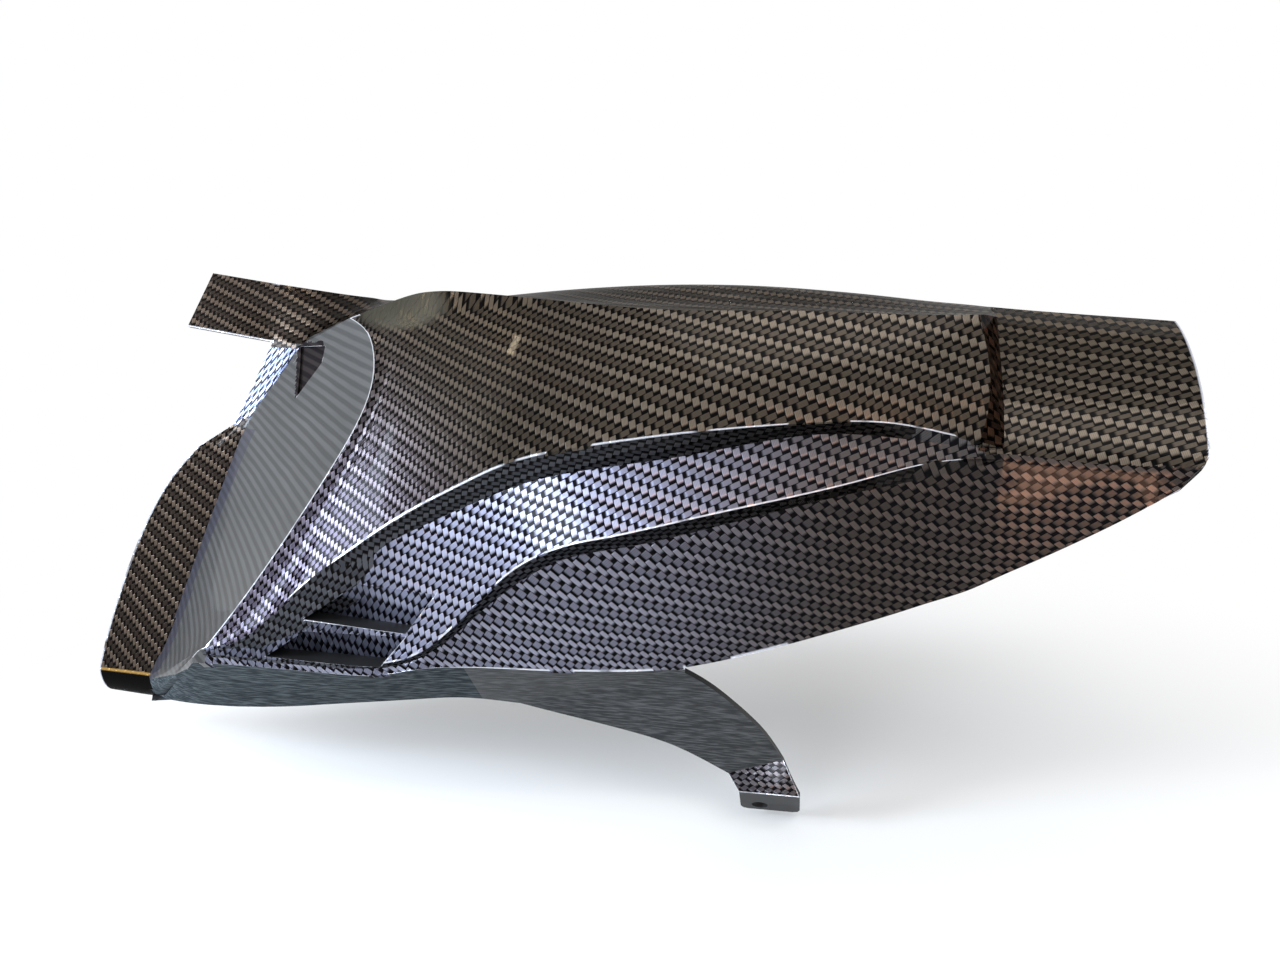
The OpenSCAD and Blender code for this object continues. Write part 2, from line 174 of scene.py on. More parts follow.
class Nodes:
    """A short way to write the node tree of a material or a world."""

    def __init__(self, owner: bpy.types.ID) -> None:
        """Empties the owner's tree.

        Args:
            owner: A new material or world.
        """
        owner.use_nodes = True
        self.owner = owner
        self.tree = owner.node_tree
        self.tree.nodes.clear()

    def add(self, kind: str, inputs: dict | None = None, **settings: object) -> bpy.types.Node:
        """Adds a node and fills its sockets.

        Args:
            kind: Type of the node without its ShaderNode prefix.
            inputs: Socket name or index to a number, a colour or another node's socket.
            settings: Properties of the node.

        Returns:
            The new node.
        """
        node = self.tree.nodes.new("ShaderNode" + kind)
        for key, value in settings.items():
            setattr(node, key, value)
        for key, value in (inputs or {}).items():
            if isinstance(value, Socket):
                self.tree.links.new(value, node.inputs[key])
            else:
                node.inputs[key].default_value = value
        return node

    def math(self, operation: str, *values: object) -> Socket:
        """Works out one sum.

        Args:
            operation: Name of the Math node's operation.
            values: Numbers or sockets, in the order of the node's inputs.

        Returns:
            The result's socket.
        """
        return self.add("Math", dict(enumerate(values)), operation=operation).outputs[0]

    def ramp(self, value: Socket, low: float, high: float) -> Socket:
        """Rises smoothly from 0 to 1 as a value goes from low to high."""
        return self.add("MapRange", {0: value, 1: low, 2: high}, interpolation_type="SMOOTHSTEP").outputs[0]

    def mix(self, share: object, first: object, second: object) -> Socket:
        """Mixes two colours."""
        return self.add("Mix", {0: share, 6: first, 7: second}, data_type="RGBA").outputs[2]

    def choose(self, share: object, first: object, second: object) -> Socket:
        """Mixes two numbers."""
        return self.add("Mix", {0: share, 2: first, 3: second}, data_type="FLOAT").outputs[0]

    def noise(self, place: Socket, scale: float, detail: float) -> Socket:
        """Reads a cloudy noise."""
        return self.add("TexNoise", {"Vector": place, "Scale": scale, "Detail": detail}).outputs[0]

    def vector(self, operation: str, *values: object) -> bpy.types.Node:
        """Works out one sum of vectors."""
        return self.add("VectorMath", dict(enumerate(values)), operation=operation)

    def axes(self, vector: Socket) -> object:
        """Splits a vector into its three numbers."""
        return self.add("SeparateXYZ", {0: vector}).outputs

    def wave(self, value: Socket, turns: float) -> Socket:
        """Sine of a value, with so many waves for each whole number."""
        return self.math("SINE", self.math("MULTIPLY", value, 2 * math.pi * turns))

    def place(self) -> Socket:
        """Place on the object, in metres."""
        return self.add("TexCoord").outputs["Object"]

    def print_place(self) -> Socket:
        """Place in the print, from the piece's own UV map."""
        return self.add("UVMap", uv_map=PRINT_MAP).outputs[0]

    def edge(self, low: float, high: float) -> Socket:
        """Gives 1 along the edges that are marked for a painted highlight."""
        return self.ramp(self.add("Attribute", attribute_name=HIGHLIGHT_MARK).outputs["Fac"], low, high)

    def seen(self) -> Socket:
        """Gives 1 to a ray that shows a surface, straight, in gloss or through glass, and 0 to light.

        Returns:
            The socket.
        """
        rays = self.add("LightPath").outputs
        shown = self.math("MAXIMUM", rays["Is Camera Ray"], rays["Is Glossy Ray"])
        return self.math("MAXIMUM", shown, rays["Is Transmission Ray"])

    def finish(self, sockets: dict, bump: tuple[Socket, float, float]) -> bpy.types.Material:
        """Closes a material's tree with one Principled shader.

        Args:
            sockets: The shader's sockets by name.
            bump: Height socket, strength and depth in metres.

        Returns:
            The finished material.
        """
        height, strength, depth = bump
        relief = self.add("Bump", {"Height": height, "Strength": strength, "Distance": depth})
        shader = self.add("BsdfPrincipled", sockets | {"Normal": relief.outputs[0]})
        self.add("OutputMaterial", {0: shader.outputs[0]})
        return self.owner


class Weave(NamedTuple):
    """Sockets that describe one point of a twill."""

    on_weft: Socket
    across: Socket
    height: Socket
    speckle: Socket


@dataclass(frozen=True)
class WovenPrint:
    """A lacquered 2 by 2 twill print, drawn in cells of the piece's own UV map.

    Lengths are in metres. The tows turn from their colours to the far ones along the part, a painted
    reflection that is cool and brighter in front and warm and darker to the rear: turn_weights says how much
    of that way runs rearwards and how much upwards.
    """

    name: str
    warp: Rgb
    weft: Rgb
    # Far colours of the tows, warmer and darker: the rear end of a painted reflection
    far_warp: Rgb | None = None
    far_weft: Rgb | None = None
    gap: Rgb = (5, 4, 4)
    turn_weights: Point = (1.0, 0.0)
    turn: Point = (-0.08, 0.06)
    # Painted shade: share of the tows' brightness that is lost in front of a place, and where that begins and
    # ends
    dim_share: float = 0.0
    dim: Point = (-0.158, -0.194)
    # A smooth spot without print, where the film was stretched away
    bare: bool = False
    bare_at: Place = (-0.174, -0.002, 0.2425)
    bare_reach: Place = (0.024, 0.03, 0.011)
    bare_fade: Point = (1.2, 0.75)
    bare_colour: Rgb = (66, 64, 57)
    # Height at which the sheet's lower end rolls under, with a painted highlight above painted shade
    roll_at: float = 0.0
    roll_soft: float = 0.0008
    roll_shade: Point = (-0.0006, -0.0016)
    roll_highlight: Rgb = (150, 118, 66)
    # Where along its run a tow reaches its full height, how its end dives, and how its sides round off
    warp_rise: Point = (0.86, 0.48)
    weft_rise: Point = (0.14, 0.52)
    warp_tip: Point = (0.0, 0.08)
    weft_tip: Point = (1.0, 0.93)
    side_slope: Point = (0.12, 0.62)
    flatness: float = 4.0
    gap_depth: Point = (0.06, 0.85)
    fibres: float = 5.0
    fibre_shade: float = 0.16
    speckle: float = 0.3
    # Painted highlight along a sharp edge, broken here and there
    glint: Rgb = (190, 192, 200)
    edge: Point = (0.6, 0.9)
    break_scale: float = 70.0
    breaks: Point = (0.26, 0.42)
    metallic: float = 0.6
    roughness: float = 0.28
    rim_tint: float = 0.25
    coat: float = 0.09
    coat_roughness: float = 0.04
    relief: Point = (0.4, 0.0004)

    def build(self) -> bpy.types.Material:
        """Builds the print.

        Returns:
            The material.
        """
        n = Nodes(bpy.data.materials.new(self.name))
        place = n.place()
        axes = n.axes(place)
        weave = self._weave(n)
        colour = self._tows(n, axes, weave)
        colour = n.mix(n.ramp(weave.height, *self.gap_depth), linear(self.gap), colour)
        if self.bare:
            colour = self._bare_patch(n, place, colour)
        # Painted highlight and painted shade where the sheet's lower end rolls under
        if self.roll_at:
            colour = self._rolled_end(n, axes[2], colour)
        breaks = n.ramp(n.noise(place, self.break_scale, 1.0), *self.breaks)
        # Painted highlight along the marked edges, broken by a noise
        colour = n.mix(n.math("MULTIPLY", n.edge(*self.edge), breaks), colour, linear(self.glint))
        return n.finish({
            "Base Color": colour, "Metallic": self.metallic, "Roughness": self.roughness,
            "Specular IOR Level": 0.0, "Specular Tint": (self.rim_tint, self.rim_tint, self.rim_tint, 1.0),
            "Coat Weight": self.coat, "Coat Roughness": self.coat_roughness}, (weave.height, *self.relief))

    def _weave(self, n: Nodes) -> Weave:
        """Works out which tow lies on top at a point, and how high it stands.

        A warp tow dives under the weft at its lower end, and a weft tow comes up at its left end.

        Args:
            n: Tree that the nodes go into.

        Returns:
            The weave's sockets.
        """
        cell = n.axes(n.print_place())
        column, row = n.math("FLOOR", cell[0]), n.math("FLOOR", cell[1])
        right, up = n.math("FRACT", cell[0]), n.math("FRACT", cell[1])
        # Of each four cells on a diagonal, two show the warp and two the weft
        step = n.math("FLOORED_MODULO", n.math("SUBTRACT", column, row), 4.0)
        on_weft = n.math("GREATER_THAN", step, 1.5)
        warp_run = n.math("MULTIPLY", n.math("ADD", n.math("SUBTRACT", 1.0, step), up), 0.5)
        weft_run = n.math("MULTIPLY", n.math("ADD", n.math("SUBTRACT", step, 2.0), right), 0.5)
        across = n.choose(on_weft, right, up)
        rise = n.choose(on_weft, n.ramp(warp_run, *self.warp_rise), n.ramp(weft_run, *self.weft_rise))
        tip = n.choose(on_weft, n.ramp(warp_run, *self.warp_tip), n.ramp(weft_run, *self.weft_tip))
        offset = n.math("ABSOLUTE", n.math("MULTIPLY_ADD", across, 2.0, -1.0))
        arch = n.math("SUBTRACT", 1.0, n.math("POWER", offset, self.flatness))
        height = n.math("MULTIPLY", n.math("MULTIPLY", rise, tip), n.ramp(arch, *self.side_slope))
        number = n.math("ADD", column, n.math("MULTIPLY", on_weft, row))
        tow = n.add("CombineXYZ", {0: number, 1: row, 2: step})
        speckle = n.add("TexWhiteNoise", {"Vector": tow.outputs[0]}, noise_dimensions="3D").outputs[0]
        return Weave(on_weft, across, height, speckle)

    def _tows(self, n: Nodes, axes: object, weave: Weave) -> Socket:
        """Colours the tows, with a painted reflection that turns along the part, any painted shade towards the
        front, the fine lines of their fibres and a speckle from tow to tow.

        Args:
            n: Tree that the nodes go into.
            axes: Place on the object, as three numbers.
            weave: The weave's sockets.

        Returns:
            The colour's socket.
        """
        # Painted reflection: the tows turn from their cool front colours to their warm far ones
        way = n.math("ADD", n.math("MULTIPLY", axes[0], self.turn_weights[0]),
                     n.math("MULTIPLY", axes[2], self.turn_weights[1]))
        turn = n.ramp(way, *self.turn)
        warp = n.mix(turn, linear(self.warp), linear(self.far_warp or self.warp))
        weft = n.mix(turn, linear(self.weft), linear(self.far_weft or self.weft))
        tow = n.mix(weave.on_weft, warp, weft)
        # Painted shade: the tows darken towards the front
        if self.dim_share:
            dim = n.math("MULTIPLY", n.ramp(axes[0], *self.dim), self.dim_share)
            tow = n.mix(dim, tow, linear(self.gap))
        shade = self.fibre_shade
        fibres = n.math("MULTIPLY_ADD", n.wave(weave.across, self.fibres), shade, shade)
        tow = n.mix(fibres, tow, linear(self.gap))
        return n.mix(n.math("MULTIPLY", weave.speckle, self.speckle), tow, weft)

    def _bare_patch(self, n: Nodes, place: Socket, colour: Socket) -> Socket:
        """Lays the smooth spot over the print.

        Args:
            n: Tree that the nodes go into.
            place: Place on the object.
            colour: The print's colour.

        Returns:
            The colour's socket.
        """
        away = n.vector("SUBTRACT", place, self.bare_at).outputs[0]
        away = n.vector("DIVIDE", away, self.bare_reach).outputs[0]
        away = n.vector("LENGTH", away).outputs["Value"]
        return n.mix(n.ramp(away, *self.bare_fade), colour, linear(self.bare_colour))

    def _rolled_end(self, n: Nodes, height: Socket, colour: Socket) -> Socket:
        """Draws a painted highlight and painted shade below it where the sheet rolls under.

        Args:
            n: Tree that the nodes go into.
            height: Height on the object.
            colour: The print's colour.

        Returns:
            The colour's socket.
        """
        lit = n.ramp(height, self.roll_at + self.roll_soft, self.roll_at)
        dark = n.ramp(height, self.roll_at + self.roll_shade[0], self.roll_at + self.roll_shade[1])
        return n.mix(dark, n.mix(lit, colour, linear(self.roll_highlight)), linear(self.gap))


@dataclass(frozen=True)
class GreySheet:
    """Unprinted sheet under the lacquer, with drawn streaks and a fine grain."""

    name: str
    colour: Rgb
    streak: Rgb
    streak_scale: Place = (40.0, 40.0, 40.0)
    streak_edge: Point = (0.4, 0.68)
    contrast: float = 0.5
    roughness: float = 0.35
    specular: float = 0.3
    coat: float = 0.3
    coat_roughness: float = 0.05
    grain_scale: float = 900.0
    grain: Point = (0.08, 0.0001)

    def build(self) -> bpy.types.Material:
        """Builds the finish.

        Returns:
            The material.
        """
        n = Nodes(bpy.data.materials.new(self.name))
        colour = self._edges(n, n.mix(self._streaks(n), linear(self.colour), linear(self.streak)))
        grain = n.noise(n.place(), self.grain_scale, 2.0)
        return n.finish({
            "Base Color": colour, "Roughness": self.roughness, "Specular IOR Level": self.specular,
            "Coat Weight": self.coat, "Coat Roughness": self.coat_roughness}, (grain, *self.grain))

    def _streaks(self, n: Nodes) -> Socket:
        """Share of the streaks' colour: a noise that is drawn out along the sheet."""
        drawn = n.add("Mapping", {0: n.place(), "Scale": self.streak_scale}).outputs[0]
        return n.math("MULTIPLY", n.ramp(n.noise(drawn, 1.0, 3.0), *self.streak_edge), self.contrast)

    def _edges(self, n: Nodes, colour: Socket) -> Socket:
        """Leaves the edges as they are."""
        return colour


@dataclass(frozen=True)
class FannedSheet(GreySheet):
    """Grey sheet on which the stretched film left fanned streaks, with a painted highlight on its cut edges.
    """

    specular: float = 0.2
    grain: Point = (0.06, 0.0001)
    # Height of the streaks' broad and thin waves, and the level that they swing about
    broad: float = 0.4
    thin: float = 0.1
    level: float = 0.5
    # How far the streaks waver, and how their strength follows the same drift
    waver: float = 0.5
    drift_scale: float = 0.35
    drift_share: Point = (0.8, 0.35)
    # Painted highlight on the marked cut edges
    edge: Point = (0.75, 0.95)
    edge_share: float = 0.7
    edge_highlight_colour: Rgb = (176, 176, 178)

    def _streaks(self, n: Nodes) -> Socket:
        """Share of the streaks' colour: waves round the fan's centre that waver a little.

        Args:
            n: Tree that the nodes go into.

        Returns:
            The share's socket.
        """
        fan = n.print_place()
        drift = n.noise(fan, self.drift_scale, 2.0)
        around = n.math("MULTIPLY_ADD", drift, self.waver, n.axes(fan)[0])
        thin = n.math("MULTIPLY_ADD", n.wave(around, 3.0), self.thin, self.level)
        share = n.math("MULTIPLY_ADD", n.wave(around, 1.0), self.broad, thin)
        return n.math("MULTIPLY", share, n.math("MULTIPLY_ADD", drift, *self.drift_share))

    def _edges(self, n: Nodes, colour: Socket) -> Socket:
        """Paints a highlight on the cut edges."""
        share = n.math("MULTIPLY", n.edge(*self.edge), self.edge_share)
        return n.mix(share, colour, linear(self.edge_highlight_colour))


@dataclass(frozen=True)
class PrintLayout:
    """How the woven print lies on one zone: columns of cells along the sheet, rows down its girth.

    Lengths are in millimetres, along the sheet from the arch's middle and round it from its crown. The
    densities change along the sheet, as on a film that was stretched over it. A flat layout was laid on from
    the front.
    """

    columns: Table
    fall: Table
    rows: Table
    lean: Table
    middle: Point = (0.0, 0.0)
    sideways: float = 0.6
    twist: int = 2
    flat: bool = False

    def cell(self, along: float, girth: float) -> Point:
        """Place of a point in the print.

        Args:
            along: Distance rearwards.
            girth: Distance down the side from the crown.

        Returns:
            Place in weave cells, across the warp and along it.
        """
        off = girth - self.middle[0] - self.middle[1] * along
        column = gathered(self.columns, along) + between(self.lean, along) * off
        row = gathered(self.fall, along) + gathered(self.rows, off)
        return column + (self.twist - 2) * row, column + (self.twist + 2) * row


def print_layouts() -> dict[Zone, PrintLayout]:
    """Gives each printed zone its layout.

    Returns:
        Zone to layout.
    """
    stripe_columns = ((-160, 0.36), (-7, 0.275), (70, 0.24))
    return {
        Zone.UPPER_PRINT: PrintLayout(
            columns=((-160, 0.5), (-92, 0.48), (-16, 0.385), (90, 0.275), (192, 0.218)),
            fall=((-117, -0.081), (-92, -0.079), (-16, -0.038), (90, -0.012), (192, -0.014)),
            rows=((0, 0.085), (45, 0.1), (75, 0.117), (105, 0.101), (150, 0.1)),
            lean=((-92, -0.04), (-16, -0.055), (90, -0.1), (192, -0.071))),
        Zone.STRIPE_PRINT: PrintLayout(
            columns=stripe_columns, fall=((-100, -0.045), (-7, -0.028), (70, -0.0165)),
            rows=steady(0.108), lean=steady(0.018), twist=1),
        Zone.STEP_PRINT: PrintLayout(
            columns=stripe_columns, fall=((-100, -0.05), (70, -0.03)),
            rows=steady(0.12), lean=steady(0.02), sideways=-0.7, twist=1),
        Zone.LOWER_PRINT: PrintLayout(
            columns=((-180, 0.36), (-73, 0.30), (1, 0.247), (94, 0.212), (190, 0.19)),
            fall=((-73, -0.081), (1, -0.064), (94, -0.05), (190, -0.045)),
            rows=((-30, 0.13), (0, 0.155), (30, 0.185)),
            lean=((-120, -0.2), (-73, -0.15), (1, -0.064), (94, -0.021), (190, 0.0)),
            middle=(180.0, -0.32), twist=0),
        Zone.NECK_PRINT: PrintLayout(
            columns=steady(0.30), fall=steady(0.10), rows=steady(0.16), lean=steady(0.09), flat=True),
        Zone.END_PRINT: PrintLayout(
            columns=steady(0.25), fall=steady(-0.02), rows=steady(0.12), lean=steady(-0.05)),
        Zone.PLATE_PRINT: PrintLayout(
            columns=((-296, 0.556), (-272, 0.468), (-228, 0.444), (-195, 0.342)),
            fall=((-296, -0.0935), (-272, -0.086), (-228, -0.068), (-195, -0.070)),
            rows=((0, 0.130), (155, 0.085), (171, 0.076)), lean=steady(0.033), flat=True),
    }


@dataclass(frozen=True)
class FlatView:
    """The plane that the front's print was laid on from, turned and tilted against the part."""

    turn: float = math.radians(-10)
    tilt: float = math.radians(14)

    def lay(self, place: Vector) -> Point:
        """Place on the plane, rearwards and down, in the units of the place.

        Args:
            place: Place from the arch's crown.

        Returns:
            Place on the plane.
        """
        along = place.x * math.cos(self.turn) - place.y * math.sin(self.turn)
        ahead = place.x * math.sin(self.turn) + place.y * math.cos(self.turn)
        return along, -(place.z * math.cos(self.tilt) + ahead * math.sin(self.tilt))


@dataclass(frozen=True)
class ZoneMap:
    """Where each finish lies on the sheet, in millimetres from the arch's crown.

    The creases, their steps' feet and the hem hold (distance rearwards, height) rows, and the flank's front
    and rear hold (height, distance rearwards) rows.
    """

    view: FlatView = FlatView()
    # Height and depth, in metres in the part's frame, of the line that the inner faces turn towards
    core: Point = (0.125, 0.146)
    # Plate, tab and neck in front of the flank, on the near side only
    plate_side: float = -30.0
    plate_rear: float = -150.0
    tab_bottom: float = -26.0
    tab_rear: float = -135.0
    neck: Point = (-68.0, -29.0)
    # Flank, with a dark root along the plate and a hollow under its lip
    flank_front: Table = (
        (-209, -279), (-188, -266), (-150, -252), (-121, -239), (-94, -227), (-69, -215),
        (-41, -192), (-32, -184), (-26, -178), (-20, -167), (-13, -150), (-9, -138))
    flank_rear: Table = (
        (-167, -211), (-145, -193), (-112, -167), (-80, -145), (-62, -134), (-44, -126),
        (-29, -125), (-21, -125), (-14, -131), (-11, -143))
    flank_end: float = -120.0
    flank_facing: float = -0.2
    root_width: float = 8.0
    root_top: float = -72.0
    hollow: Table = ((-190.5, 32.5), (-172.8, 34.0), (-172.8, 42.8), (-189.5, 61.5))
    # Lower edge of the print, and the skirt, leg and foot below it
    hem: Table = (
        (-280, -211), (-245, -193), (-218, -176), (-193, -174), (-153, -174), (-124, -174), (-99, -169),
        (-73, -168), (-37, -169), (21, -167), (97, -147), (151, -127), (203, -99), (237, -78), (246, -73))
    hem_slack: float = 1.0
    hem_end: float = 140.0
    hem_facing: float = 0.1
    pod_corner: float = -211.0
    leg_front: float = -80.0
    foot_top: float = -236.0
    # The pod's rear end, and the side on which the creases count
    end_facing: float = 0.5
    end_reach: Point = (60.0, 160.0)
    end_floor: float = -64.0
    near_side: float = -20.0
    # The two creases and the feet of the steps below them
    crease_upper: Table = (
        (-211, -167), (-196, -163), (-182, -155), (-167, -142), (-155, -129.5), (-140.5, -119),
        (-106, -94.5), (-80, -80.5), (-51.5, -66.5), (3, -56), (53.5, -51), (101, -49), (126, -53), (144, -60),
        (150, -66), (200, -70))
    crease_lower: Table = (
        (-211, -170), (-131, -168), (-107.6, -163.5), (-95, -157), (-80, -143.5), (-55, -117), (-30, -105),
        (-12, -101.5), (32, -91), (86, -79), (126, -68), (144, -67), (150, -66), (200, -70))
    foot_upper: Table = (
        (-214, -168), (-180, -163.6), (-146, -147), (-128, -129), (-113, -108), (-99, -101), (-80, -92),
        (-44, -77), (17, -66.5), (79, -56), (126, -59.5), (144, -63))
    foot_lower: Table = (
        (-138, -171), (-117, -169.4), (-101, -165), (-84, -152), (-66, -135), (-37, -115.5), (3, -107),
        (90, -84), (133, -75), (144, -72))
    step_end: float = 118.0
    step_facing: float = 0.05

    def zone(self, centre: Vector, place: Vector, normal: Vector) -> Zone:
        """Sorts a face into its finish.

        Args:
            centre: The face's middle, in metres in the part's frame.
            place: The same from the crown, in millimetres.
            normal: The way that the face looks.

        Returns:
            The face's zone.
        """
        if normal.dot(centre - Vector((centre.x, *self.core))) < 0:
            return Zone.INSIDE
        front, rear = between(self.flank_front, place.z), between(self.flank_rear, place.z)
        plate_rear = self.tab_rear if place.z > self.tab_bottom else self.plate_rear
        if place.y < self.plate_side and place.x < min(front, plate_rear):
            return Zone.NECK_PRINT if self.neck[0] < place.z < self.neck[1] else Zone.PLATE_PRINT
        below = place.z < between(self.hem, place.x) - self.hem_slack
        if front <= place.x < min(rear, self.flank_end):
            if self._in_hollow(place):
                return Zone.HOLLOW
            before_pod = place.x < self.pod_corner
            if before_pod and below:
                return Zone.SKIRT
            if before_pod or normal.x < self.flank_facing:
                rooted = place.x < front + self.root_width and place.z < self.root_top
                return Zone.ROOT if rooted else Zone.FLANK
        if below and place.x < self.hem_end and normal.z < self.hem_facing:
            return self._below_hem(place)
        return self._side(place, normal)

    def _in_hollow(self, place: Vector) -> bool:
        """Tells whether a place lies in the hollow under the flank's lip.

        Args:
            place: Place from the crown, in millimetres.

        Returns:
            Whether it does.
        """
        along, down = self.view.lay(place)
        corners = zip(self.hollow, self.hollow[1:] + self.hollow[:1])
        return all((c - a) * (down - b) - (d - b) * (along - a) > 0 for (a, b), (c, d) in corners)

    def _below_hem(self, place: Vector) -> Zone:
        """Zone of a face below the hem: the skirt, the leg or the foot.

        Args:
            place: The face's middle from the crown, in millimetres.

        Returns:
            The face's zone.
        """
        if place.x < self.leg_front:
            return Zone.SKIRT
        return Zone.FOOT if place.z < self.foot_top else Zone.LEG

    def _side(self, place: Vector, normal: Vector) -> Zone:
        """Sorts a printed face of the sides and the crown by the two creases and their steps.

        Args:
            place: The face's middle from the crown, in millimetres.
            normal: The way that the face looks.

        Returns:
            The face's zone.
        """
        upper, lower = between(self.crease_upper, place.x), between(self.crease_lower, place.x)
        near = place.y < self.near_side
        at_end = self.end_reach[0] < place.x < self.end_reach[1] and place.z > self.end_floor
        if near and at_end and normal.x > self.end_facing:
            return Zone.END_PRINT
        if place.y > self.near_side or place.z > upper:
            return Zone.UPPER_PRINT
        if place.x < self.step_end and normal.z < self.step_facing:
            for top, foot in ((upper, self.foot_upper), (lower, self.foot_lower)):
                if between(foot, place.x) < place.z < top:
                    return Zone.STEP_PRINT
        return Zone.STRIPE_PRINT if place.z > lower else Zone.LOWER_PRINT


@dataclass
class PrintedSheet:
    """The whole mudguard: one sheet, its finishes and the print on them."""

    node: str = "mudguard"
    # Place of the arch's crown in the part's frame, in metres
    crown: Vector = field(default_factory=lambda: Vector((-0.056, 0.0850755, 0.246536)))
    zones: ZoneMap = field(default_factory=ZoneMap)
    layouts: dict[Zone, PrintLayout] = field(default_factory=print_layouts)
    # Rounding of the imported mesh
    merge: float = 1e-6
    flat_angle: float = math.radians(12)
    quad_angle: float = math.radians(60)
    crease_angle: float = math.radians(19)
    levels: int = 2
    calm_angle: float = math.radians(11)
    iron_passes: int = 8
    # Edges that shade sharply, and convex ones that get a painted highlight
    sharp_angle: float = math.radians(24)
    highlight_angle: float = math.radians(32)
    # Share of its fall that a side adds to the girth, and the foremost place where the crown is read
    girth_share: float = 0.85
    crown_from: float = -0.241
    # Centre of the flank's fan of streaks on the flat view, its step round and its step outwards
    fan_centre: Point = (-432.0, -96.0)
    fan_turn: float = math.radians(0.88)
    fan_reach: float = 10.0

    def build(self, source: bpy.types.Object, finishes: dict[Zone, bpy.types.Material]) -> bpy.types.Object:
        """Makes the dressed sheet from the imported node.

        Args:
            source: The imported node's object.
            finishes: Material of each zone.

        Returns:
            The new piece.
        """
        piece = self._rounded(source)
        for zone in Zone:
            piece.data.materials.append(finishes[zone])
        bm = bmesh.new()
        bm.from_mesh(piece.data)
        self._iron(bm)
        self._lay_print(bm)
        self._mark_edges(bm)
        bm.to_mesh(piece.data)
        bm.free()
        LOG.info("sheet: %d faces", len(piece.data.polygons))
        return piece

    def _rounded(self, source: bpy.types.Object) -> bpy.types.Object:
        """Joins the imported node's loose triangles, holds its creases and subdivides it.

        Args:
            source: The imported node's object.

        Returns:
            A new object with the subdivided mesh.
        """
        bm = bmesh.new()
        bm.from_mesh(source.data)
        bmesh.ops.remove_doubles(bm, verts=bm.verts, dist=self.merge)
        bmesh.ops.dissolve_degenerate(bm, edges=bm.edges, dist=self.merge)
        bmesh.ops.join_triangles(bm, faces=bm.faces, angle_face_threshold=self.flat_angle,
                                 angle_shape_threshold=self.quad_angle)
        weight = bm.edges.layers.float.new("crease_edge")
        for edge in bm.edges:
            if len(edge.link_faces) != 2 or edge.calc_face_angle(0) > self.crease_angle:
                edge[weight] = 1.0
        mesh = bpy.data.meshes.new("printed_sheet")
        bm.to_mesh(mesh)
        bm.free()
        piece = placed("printed_sheet", mesh)
        rounding = piece.modifiers.new("smooth", "SUBSURF")
        rounding.levels = rounding.render_levels = self.levels
        rounding.boundary_smooth = "PRESERVE_CORNERS"
        bpy.context.view_layer.update()
        rounded = piece.evaluated_get(bpy.context.evaluated_depsgraph_get())
        piece.data = bpy.data.meshes.new_from_object(rounded)
        piece.modifiers.clear()
        return piece

    def _iron(self, bm: bmesh.types.BMesh) -> None:
        """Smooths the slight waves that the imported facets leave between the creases.

        Args:
            bm: The subdivided sheet.
        """
        calm = [vert for vert in bm.verts if all(
            len(edge.link_faces) == 2 and edge.calc_face_angle(0) < self.calm_angle
            for edge in vert.link_edges)]
        for _ in range(self.iron_passes):
            bmesh.ops.smooth_vert(bm, verts=calm, factor=0.5,
                                   use_axis_x=True, use_axis_y=True, use_axis_z=True)

    def _lay_print(self, bm: bmesh.types.BMesh) -> None:
        """Gives each face its finish and each corner its place in the print.

        Args:
            bm: The smoothed sheet.
        """
        tree = BVHTree.FromBMesh(bm)
        uv = bm.loops.layers.uv.new(PRINT_MAP)
        for face in bm.faces:
            centre = face.calc_center_median()
            zone = self.zones.zone(centre, self._from_crown(centre), face.normal)
            face.smooth = True
            face.material_index = zone
            for loop in face.loops:
                loop[uv].uv = self._cell(zone, loop.vert.co, tree)

    def _mark_edges(self, bm: bmesh.types.BMesh) -> None:
        """Sharpens the creases and marks the convex ones between two finishes for a painted highlight.

        Args:
            bm: The dressed sheet.
        """
        mark = bm.verts.layers.float.new(HIGHLIGHT_MARK)
        for edge in bm.edges:
            angle = edge.calc_face_angle_signed(0) if len(edge.link_faces) == 2 else math.pi
            edge.smooth = abs(angle) < self.sharp_angle
            zones = {face.material_index for face in edge.link_faces}
            if angle > self.highlight_angle and len(zones) > 1 and Zone.END_PRINT not in zones:
                for vert in edge.verts:
                    vert[mark] = 1.0

    def _from_crown(self, co: Vector) -> Vector:
        """Place from the crown, in millimetres."""
        return (co - self.crown) * MM

    def _cell(self, zone: Zone, co: Vector, tree: BVHTree) -> Point:
        """Place of a corner in the print of its zone.

        Args:
            zone: Zone of the corner's face.
            co: The corner, in metres.
            tree: The sheet's faces, to find the crown above the corner.

        Returns:
            Place in weave cells, or in streaks on a zone without a layout.
        """
        place = self._from_crown(co)
        layout = self.layouts.get(zone)
        if layout and not layout.flat:
            fall = max(0.0, self._crown_height(max(co.x, self.crown_from), tree) - place.z)
            girth = layout.sideways * abs(place.y) + self.girth_share * fall
            return layout.cell(place.x, math.copysign(girth, -place.y))
        along, down = self.zones.view.lay(place)
        if layout:
            return layout.cell(along, down)
        along, down = along - self.fan_centre[0], down - self.fan_centre[1]
        return math.atan2(down, along) / self.fan_turn, math.hypot(along, down) / self.fan_reach

    def _crown_height(self, along: float, tree: BVHTree) -> float:
        """Height of the crown line at a station, in millimetres, from a ray dropped onto it."""
        hit = tree.ray_cast(Vector((along, self.crown.y, 1.0)), Vector((0, 0, -1)))
        return (hit[0].z - self.crown.z) * MM if hit[0] else 0.0


